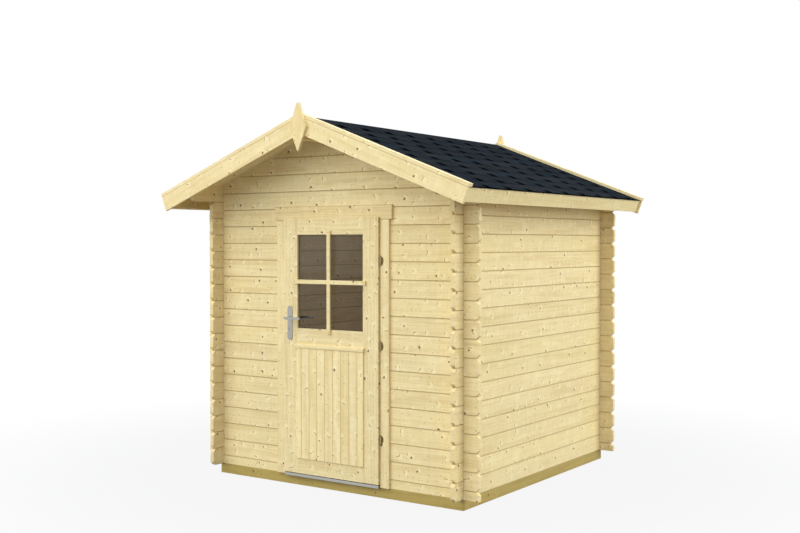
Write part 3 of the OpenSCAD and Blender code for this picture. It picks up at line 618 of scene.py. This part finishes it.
# Dark print in the notches, also used for painted shade there and at the roof's edges
FELT_PRINT_AND_SHADE = srgb(3, 4, 6)
# Painted shade at the roof's edges, and dark print with painted shade in a notch: across it, up to
# its top, and lighter at its foot
EDGE_SHADE = (0.016, 0.005, 0.0, 0.9)
NOTCH_SIDES = (NOTCH_W * 0.66, NOTCH_W * 0.54)
NOTCH_TOP = (NOTCH_H * 1.08, NOTCH_H * 0.98)
NOTCH_FOOT = (0.0, NOTCH_H * 0.4, 0.85, 1.0)
# Noise of the felt, as scale, detail and roughness, and how far each changes the tone
GRAINS = (520.0, 2.0, 0.7)
FLECKS = (75.0, 3.0, 0.7)
PATCHES = (9.0, 3.0)
GRAIN_TONE = (-0.65, 0.65)
PATCH_TONE = (-0.3, 0.3)
TAB_TONE = (0.86, 1.14)
# Number of a tab, made from its course and its place in it
COURSE_SEED = 17.31
TAB_SEED = 0.37
FELT_ROUGHNESS = 0.95
FELT_BUMP = (0.0012, 0.6)


def felt_material():
    """Mineral-grained felt. Each tab has its own tone; print and painted shade darken the notches.
    """
    material, tree = new_material("bitumen_shingles")
    spot = tree.object_place()
    x, y, z = tree.split(spot)
    down = tree.math("ADD", tree.math("MULTIPLY", tree.math("ABSOLUTE", x), math.cos(PITCH)),
                     tree.math("MULTIPLY", tree.math("SUBTRACT", RIDGE_Z, z), math.sin(PITCH)))
    from_drip = tree.math("SUBTRACT", DRIP_S, down)
    courses = tree.math("DIVIDE", from_drip, COURSE)
    course = tree.math("FLOOR", courses)
    up = tree.math("MULTIPLY", tree.math("FRACT", courses), COURSE)
    shift = tree.math("MULTIPLY", tree.math("MODULO", course, 2.0), 0.5)
    tabs = tree.math("ADD", tree.math("DIVIDE", tree.math("SUBTRACT", y, TAB_PHASE), TAB_W), shift)
    middle = tree.math("ABSOLUTE", tree.math("SUBTRACT", tree.math("FRACT", tabs), 0.5))
    from_notch = tree.math("MULTIPLY", tree.math("SUBTRACT", 0.5, middle), TAB_W)

    # Notches get dark print and painted shade, and the roof's edges painted shade
    shade = tree.math("MULTIPLY", tree.step(from_notch, *NOTCH_SIDES),
                      tree.step(up, *NOTCH_TOP))
    shade = tree.math("MULTIPLY", shade, tree.step(up, *NOTCH_FOOT))
    from_verge = tree.math("MINIMUM", tree.math("SUBTRACT", y, FRONT_VERGE),
                           tree.math("SUBTRACT", BACK_VERGE, y))
    for distance in (from_verge, from_drip):
        shade = tree.math("MAXIMUM", shade, tree.step(distance, *EDGE_SHADE))

    tab = tree.math("ADD", tree.math("FLOOR", tabs), TAB_SEED)
    tone, hue, _ = tree.random(tree.math("ADD", tree.math("MULTIPLY", course, COURSE_SEED), tab))
    grains, flecks, patches = (tree.noise(spot, *values) for values in (GRAINS, FLECKS, PATCHES))
    bright = tree.sum(tree.between(tone, *TAB_TONE), tree.between(grains, *GRAIN_TONE),
                      tree.between(flecks, *GRAIN_TONE), tree.between(patches, *PATCH_TONE))
    warm = tree.math("MULTIPLY", tree.math("ADD", hue, patches), 0.5)
    color = tree.tint(tree.mix(warm, FELT_COOL, FELT_WARM), bright)
    color = tree.mix(shade, color, FELT_PRINT_AND_SHADE)
    tree.output(tree.surface(color, FELT_ROUGHNESS, tree.bump(grains, *FELT_BUMP),
                             Specular_IOR_Level=0.0))
    return material


def slope_point(side, y, s, n):
    """Place on the right (1) or left (-1) slope."""
    return Vector((side * (s * math.cos(PITCH) + n * math.sin(PITCH)), y,
                   RIDGE_Z - s * math.sin(PITCH) + n * math.cos(PITCH)))


def lower_edge(course, y0, y1, rng):
    """Points (y, s) along a course's lower edge, with a notch between tabs."""
    low = DRIP_S - course * COURSE
    phase = TAB_PHASE - (course % 2) * TAB_W / 2
    edge = [(y0, low)]
    for tab in range(math.ceil((y0 - phase) / TAB_W), math.floor((y1 - phase) / TAB_W) + 1):
        middle = phase + tab * TAB_W
        left, right = middle - NOTCH_W / 2, middle + NOTCH_W / 2
        if left < y0 + NOTCH_MARGIN or right > y1 - NOTCH_MARGIN:
            continue
        drop = rng.uniform(-TAB_DROP, 0.0)
        edge += [(left, low + drop), (left + NOTCH_TAPER, low - NOTCH_H),
                 (right - NOTCH_TAPER, low - NOTCH_H), (right, low + drop)]
    return edge + [(y1, low)]


def sheet_row(side, edge, top_at, straight=None):
    """Matching points on top of a sheet and under it, along an edge or at s = straight.

    top_at gives the n of the sheet's top from s.
    """
    row = []
    for y, s in edge:
        s = s if straight is None else straight
        n = top_at(s)
        row.append((slope_point(side, y, s, n),
                    slope_point(side, y, s, n - SHEET_T + SHEET_GAP)))
    return row


def add_sheet(mesh, rows):
    """A closed sheet from rows of (upper, lower) points. The first and last rows are edges."""
    made = [([mesh.verts.new(top) for top, _ in row], [mesh.verts.new(under) for _, under in row])
            for row in rows]
    for (top_a, under_a), (top_b, under_b) in zip(made, made[1:]):
        for number in range(len(top_a) - 1):
            after = number + 1
            mesh.faces.new((top_a[number], top_a[after], top_b[after], top_b[number]))
            mesh.faces.new((under_a[after], under_a[number], under_b[number], under_b[after]))
        for end in (0, -1):
            mesh.faces.new((top_a[end], top_b[end], under_b[end], under_a[end]))
    for top, under in (made[0], made[-1]):
        for number in range(len(top) - 1):
            mesh.faces.new((top[number + 1], top[number], under[number], under[number + 1]))


def finish_mesh(mesh, name):
    """A new object from the mesh, with many-sided faces cut into triangles."""
    bmesh.ops.triangulate(mesh, faces=[face for face in mesh.faces if len(face.verts) > 4])
    bmesh.ops.recalc_face_normals(mesh, faces=mesh.faces)
    data = bpy.data.meshes.new(name)
    mesh.to_mesh(data)
    mesh.free()
    piece = bpy.data.objects.new(name, data)
    bpy.context.scene.collection.objects.link(piece)
    return piece


def shingle_slope(side, name, y0, y1, seed):
    """All courses of one slope but the folded one, over a plain starter sheet."""
    rng = random.Random(seed)
    mesh = bmesh.new()
    starter = [(y0, 0.0), (y1, 0.0)]
    add_sheet(mesh, [[(slope_point(side, y, s, BOARD_T + SHEET_T - SHEET_GAP),
                       slope_point(side, y, s, BOARD_T)) for y, _ in starter]
                     for s in (0.0, DRIP_S - STARTER_IN)])
    for course in range(COURSES):
        low = DRIP_S - course * COURSE
        edge = lower_edge(course, y0, y1, rng)
        high = max(low - COURSE - NOTCH_H - UNDERLAP, 0.0)

        def top_at(s):
            return FELT_N - (low - s) * SHEET_T / COURSE
        add_sheet(mesh, [sheet_row(side, edge, top_at), sheet_row(side, edge, top_at, high)])
    return finish_mesh(mesh, name)


def folded_course(name, y0, y1, seed):
    """The top course, folded over the ridge, with notches on both slopes."""
    mesh = bmesh.new()
    edge = lower_edge(COURSES, y0, y1, random.Random(seed))
    low = edge[0][1]
    high = low - NOTCH_H - UNDERLAP
    top = CAP_HIGH.z - CAP_ROOM

    def top_at(s):
        return FELT_N + (CAP_N - FELT_N) * (1 - s / low) ** FOLD_POWER
    fold = [(Vector((0, y, top)), Vector((0, y, top - SHEET_T))) for y, _ in edge]
    left, right = ([sheet_row(side, edge, top_at, s) for s in (None, high, FOLD_HALF)]
                   for side in (-1, 1))
    add_sheet(mesh, [*left, fold, *reversed(right)])
    return finish_mesh(mesh, name)


felt = felt_material()
for piece, node in (
        (shingle_slope(1, "right_shingle_courses", SHINGLE_LOW.y, SHINGLE_HIGH.y, 6),
         "right_shingles"),
        (shingle_slope(-1, "left_shingle_courses", SHINGLE_LOW.y, SHINGLE_HIGH.y, 4),
         "left_shingles"),
        (folded_course("ridge_shingle_course", CAP_LOW.y, CAP_HIGH.y, 9), "ridge_cap")):
    dress(felt, piece)
    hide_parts(node)
    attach(piece, "house")


# ---- metal and glass ----

FINE_ALONG_Z = (60.0, 60.0, 900.0)
FINE_ACROSS_X = (20.0, 900.0, 900.0)
EVEN_GRAIN = (500.0, 500.0, 500.0)
# Noise of brush lines and of smudges, how far smudges change the tone, how far brush lines
# change the roughness, and the bump's distance and strength
BRUSH_NOISE = (1.0, 3.0)
SMUDGE_NOISE = (30.0, 2.0)
SMUDGE_TONE = (-0.05, 0.05)
METAL_ROUGH_HALF = 0.07
METAL_BUMP = (0.0001, 0.4)


def metal(name, color, roughness, grain, metallic, spread=0.12):
    """Worn metal with brush lines. grain is their waves a metre, and spread their contrast."""
    material, tree = new_material(name)
    spot = tree.object_place()
    lines = tree.noise(tree.vector("MULTIPLY", spot, grain), *BRUSH_NOISE)
    smudge = tree.noise(spot, *SMUDGE_NOISE)
    tone = tree.math("ADD", tree.between(lines, 1 - spread / 2, 1 + spread / 2),
                     tree.between(smudge, *SMUDGE_TONE))
    rough = tree.between(lines, roughness - METAL_ROUGH_HALF, roughness + METAL_ROUGH_HALF)
    tree.output(tree.surface(tree.tint(color[:3], tone), rough,
                             tree.bump(lines, *METAL_BUMP, EDGE_R), Metallic=metallic))
    return material


STEEL = metal("handle_steel", srgb(150, 150, 147), 0.36, FINE_ALONG_Z, 0.6)
ALUMINIUM = metal("threshold_aluminium", srgb(166, 166, 162), 0.42, FINE_ACROSS_X, 0.7)
BRONZE = metal("hinge_bronze", srgb(164, 142, 96), 0.5, EVEN_GRAIN, 0.35, spread=0.2)
dress(STEEL, "handle_plates", "lever_handle")
dress(ALUMINIUM, "door_threshold")
dress(BRONZE, "frame_hinges", "leaf_hinges")

SCREW_R = 0.0038
SCREW_SIDES = 24
STAR_POINTS = 6
# Rings from the rim to the bottom of the recess: share of the radius, height above the
# surface, and depth of the star's waves
SCREW_RINGS = ((1.0, -0.0002, 0.0), (1.0, 0.0004, 0.0), (0.86, 0.0011, 0.0),
               (0.60, 0.0014, 0.0), (0.42, 0.0014, 0.16), (0.40, 0.0003, 0.16))


def screw_head(name, place, facing, material, turn):
    """Domed screw head with a star recess. facing is 1 on a back face, -1 on a front face."""
    mesh = bmesh.new()
    made = []
    for share, height, wave in SCREW_RINGS:
        ring = []
        for side in range(SCREW_SIDES):
            angle = math.tau * side / SCREW_SIDES
            far = SCREW_R * share * (1 + wave * math.cos(STAR_POINTS * angle))
            ring.append(mesh.verts.new(Vector(place) + Vector((
                far * math.cos(turn + angle), facing * height, far * math.sin(turn + angle)))))
        made.append(ring)
    for outer, inner in zip(made, made[1:]):
        for side in range(SCREW_SIDES):
            after = (side + 1) % SCREW_SIDES
            mesh.faces.new((outer[side], outer[after], inner[after], inner[side]))
    mesh.faces.new(made[-1])
    mesh.faces.new(made[0])
    piece = finish_mesh(mesh, name)
    dress(material, piece)
    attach(piece, "door")


BAR_LOW, BAR_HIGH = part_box("glazing_bars")
PLATE_LOW, PLATE_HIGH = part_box("handle_plates")
BAR_IN = 0.013
PLATE_IN = 0.014
bar_z = (BAR_LOW.z + BAR_HIGH.z) / 2
plate_x = (PLATE_LOW.x + PLATE_HIGH.x) / 2
# Each screw is turned at random
rng = random.Random(31)
for number, (x, z) in enumerate(((0, BAR_LOW.z + BAR_IN), (0, BAR_HIGH.z - BAR_IN),
                                 (BAR_LOW.x + BAR_IN, bar_z), (BAR_HIGH.x - BAR_IN, bar_z))):
    screw_head(f"bar_screw_{number + 1}", (x, BAR_LOW.y, z), -1, BRONZE,
               turn=rng.uniform(0, 1))
plate_screws = [(facing, y, z) for facing, y in ((-1, PLATE_LOW.y), (1, PLATE_HIGH.y))
                for z in (PLATE_LOW.z + PLATE_IN, PLATE_HIGH.z - PLATE_IN)]
for number, (facing, y, z) in enumerate(plate_screws):
    screw_head(f"plate_screw_{number + 1}", (plate_x, y, z), facing, STEEL,
               turn=rng.uniform(0, 1))


PANE_COLOR = srgb(236, 234, 228)
PANE_PASSING = srgb(235, 240, 236)
PANE_IOR = 1.2
PANE_NOISE = (3.0, 1.0)
PANE_BUMP = (0.0006, 0.15)
# Painted shade in a thin band round the pane: its colour, noise and roughness
PANE_SHADE_COLOR = srgb(72, 58, 42)
PANE_SHADE_NOISE = 300.0
PANE_SHADE_ROUGHNESS = (0.55, 0.85)


def glass_material():
    """Clear pane edged with painted shade. Shadow and diffuse rays pass the clear part."""
    material, tree = new_material("window_glass")
    spot = tree.object_place()
    waves = tree.bump(tree.noise(spot, *PANE_NOISE), *PANE_BUMP)
    clear = tree.surface(PANE_COLOR, 0.0, waves, IOR=PANE_IOR, Transmission_Weight=1.0)
    passing = tree.plain("BsdfTransparent", PANE_PASSING)
    ray = tree.add("LightPath").outputs
    pane = tree.blend(tree.math("MAXIMUM", ray["Is Shadow Ray"], ray["Is Diffuse Ray"]),
                      clear, passing)
    x, _, z = tree.split(spot)
    inside = tree.math("SUBTRACT", GLASS_HIGH.x, tree.math("ABSOLUTE", x))
    for gap in (tree.math("SUBTRACT", z, GLASS_LOW.z), tree.math("SUBTRACT", GLASS_HIGH.z, z)):
        inside = tree.math("MINIMUM", inside, gap)
    # The band round the pane's edge is painted shade
    pane_shade = tree.surface(PANE_SHADE_COLOR,
                        tree.between(tree.noise(spot, PANE_SHADE_NOISE), *PANE_SHADE_ROUGHNESS))
    tree.output(tree.blend(tree.math("LESS_THAN", inside, GLASS_SEAT + PANE_SHADE_W), pane, pane_shade))
    return material


dress(glass_material(), "door_glass")


# ---- stage, light and camera ----

WHITE = (1.0, 1.0, 1.0, 1.0)
FLOOR_GREY = (0.20, 0.20, 0.20, 1.0)
FLOOR_HALF = 40.0
# Distances between which the floor turns white, and how white it is before that
FLOOR_FADE = (1.6, 4.5)
FLOOR_WHITE = 0.90

# Colour of the world's light at the level and at the zenith
SKY_LOW = (0.425, 0.515, 0.775, 1.0)
SKY_HIGH = (0.56, 0.68, 1.00, 1.0)

# Soft lamps: azimuth to the right of straight in front of the door and height above the
# level, in degrees, the angles that they take up across and upwards, and the light on a
# surface square to them, where 3.14 is full
LAMPS = {"front_light": (-20.0, 30.0, 66.0, 62.0, 3.02),
         "right_light": (109.0, 27.0, 42.0, 56.0, 2.52),
         "back_left_light": (-150.0, 20.0, 40.0, 40.0, 1.1)}
LAMP_COLOR = (1.0, 0.965, 0.80)
LAMP_AIM = Vector((0.0, 0.0, 1.2))
LAMP_FAR = 18.0
ROOM_COLOR = (0.43, 0.52, 1.0)
ROOM_WATTS = 5.6
ROOM_LAMP_AT = (0.0, 0.0, 1.5)
ROOM_LAMP_R = 0.3

# Camera off the front right corner, at eye height and tipped slightly down
CAMERA_AT = (4.4439, -6.6972, 1.6238)
CAMERA_RISE = 88.772
CAMERA_TURN = 34.765
SENSOR_MM = 36.0
LENS_MM = 49.63
SHIFT_X = 0.0073
CLIP_END = 200.0


def build_floor():
    """Pale floor. It keeps the shadow near the object and fades to plain white further off."""
    mesh = bmesh.new()
    bmesh.ops.create_grid(mesh, x_segments=1, y_segments=1, size=FLOOR_HALF)
    floor = finish_mesh(mesh, "floor_stage")
    material, tree = new_material("stage_white")
    far = tree.vector("LENGTH", tree.object_place())
    white = tree.step(far, *FLOOR_FADE, FLOOR_WHITE, 1.0)
    tree.output(tree.blend(tree.math("MULTIPLY", tree.seen(), white),
                           tree.plain("BsdfDiffuse", FLOOR_GREY), tree.plain("Emission", WHITE)))
    dress(material, floor)


def build_world():
    """Light that grows from the level to the zenith, before a plain white background."""
    world = bpy.data.worlds.new("studio")
    bpy.context.scene.world = world
    world.use_nodes = True
    world.node_tree.nodes.clear()
    tree = Tree(world.node_tree)
    rise = tree.split(tree.add("TexCoord").outputs["Generated"])[2]
    light = tree.plain("Background", tree.mix(tree.step(rise, 0.0, 1.0), SKY_LOW, SKY_HIGH))
    tree.output(tree.blend(tree.seen(), light, tree.plain("Background", WHITE)), "OutputWorld")


def add_lamp(name, kind, color, watts, place):
    """A lamp that neither the camera nor the glass shows. Gives its object."""
    light = bpy.data.lights.new(name, kind)
    light.color = color
    light.energy = watts
    lamp = bpy.data.objects.new(name, light)
    lamp.location = place
    lamp.visible_camera = lamp.visible_transmission = False
    bpy.context.scene.collection.objects.link(lamp)
    return lamp


def add_softbox(name, azimuth, height, wide, tall, level):
    """Wide soft light aimed at the middle of the house, with the values of LAMPS."""
    turn, rise = math.radians(azimuth), math.radians(height)
    away = Vector((math.sin(turn) * math.cos(rise), -math.cos(turn) * math.cos(rise),
                   math.sin(rise)))
    lamp = add_lamp(name, "AREA", LAMP_COLOR, level * math.pi * LAMP_FAR ** 2,
                    LAMP_AIM + away * LAMP_FAR)
    lamp.rotation_euler = away.to_track_quat("Z", "Y").to_euler()
    lamp.data.shape = "RECTANGLE"
    lamp.data.size = 2 * LAMP_FAR * math.tan(math.radians(wide / 2))
    lamp.data.size_y = 2 * LAMP_FAR * math.tan(math.radians(tall / 2))


def build_camera():
    data = bpy.data.cameras.new("camera")
    data.sensor_width = SENSOR_MM
    data.lens = LENS_MM
    data.shift_x = SHIFT_X
    data.clip_end = CLIP_END
    camera = bpy.data.objects.new("camera", data)
    camera.location = CAMERA_AT
    camera.rotation_euler = (math.radians(CAMERA_RISE), 0.0, math.radians(CAMERA_TURN))
    bpy.context.scene.collection.objects.link(camera)
    bpy.context.scene.camera = camera


build_floor()
build_world()
for name, values in LAMPS.items():
    add_softbox(name, *values)
# Faint daylight inside, so that the panes don't look black
room_lamp = add_lamp("room_light", "POINT", ROOM_COLOR, ROOM_WATTS, ROOM_LAMP_AT)
room_lamp.data.shadow_soft_size = ROOM_LAMP_R
build_camera()
bpy.context.scene.view_settings.view_transform = "Standard"
